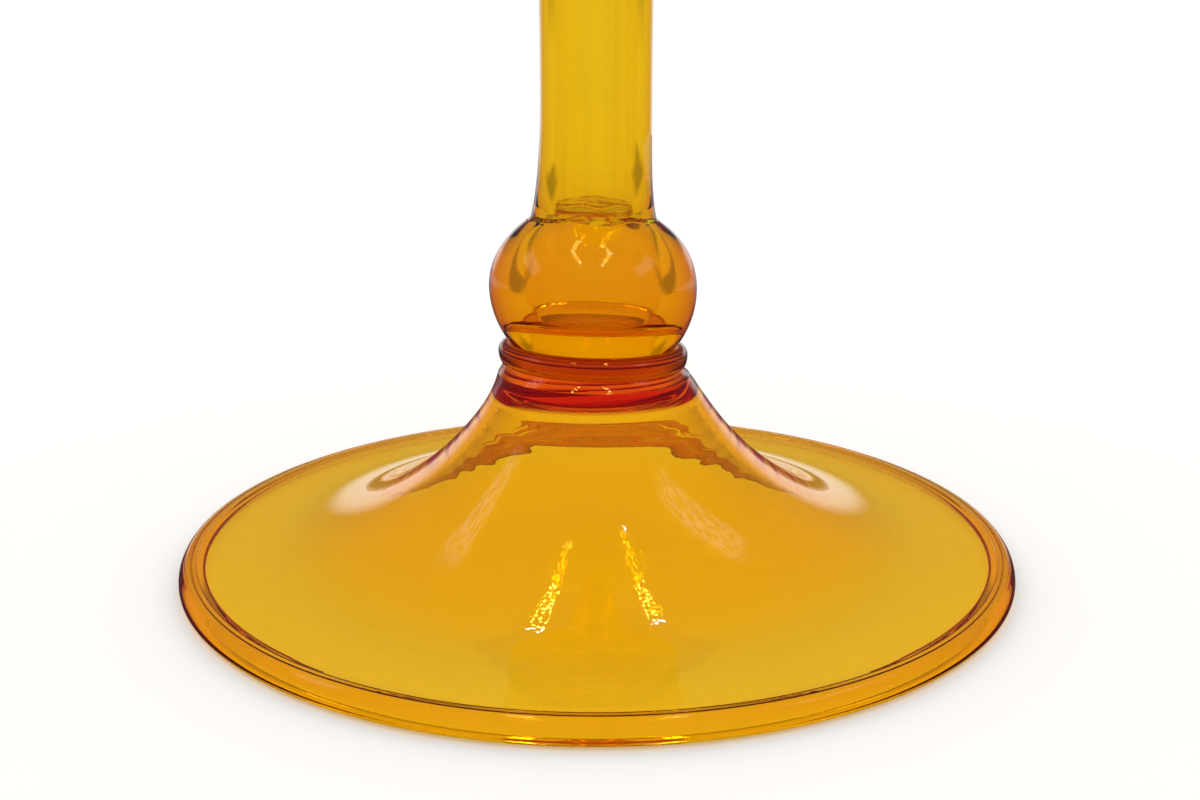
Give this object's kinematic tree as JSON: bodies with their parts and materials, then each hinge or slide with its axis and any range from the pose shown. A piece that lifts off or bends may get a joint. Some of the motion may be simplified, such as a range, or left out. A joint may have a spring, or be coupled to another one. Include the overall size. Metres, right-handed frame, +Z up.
{
  "type": "trumpet vase",
  "caption": "Tall amber glass trumpet vase: folded foot with a hollow cone, solid bead, hollow ball knop and a slim stem that flares into a wide open mouth for flowers.",
  "frame": {"origin": "centre of the ring that the foot stands on, on the table", "axes": "+Z up along the axis that every piece is turned round; X and Y lie in the table and are free, because the vase is round"},
  "size_m": [0.186, 0.186, 0.41],
  "materials": {
    "amber_glass": "clear amber glass in thin blown walls, fire polished, yellow to gold",
    "amber_glass_ball": "clear amber glass in thick walls, fire polished, orange",
    "amber_glass_solid": "clear amber glass in solid lumps, fire polished, deep red"
  },
  "bodies": {
    "root": {"foot": "amber_glass", "neck_wafer": "amber_glass_solid", "bead": "amber_glass_solid", "ball_knop": "amber_glass_ball", "stem_wafer": "amber_glass_ball", "trumpet_body": "amber_glass"}
  },
  "joints": []
}
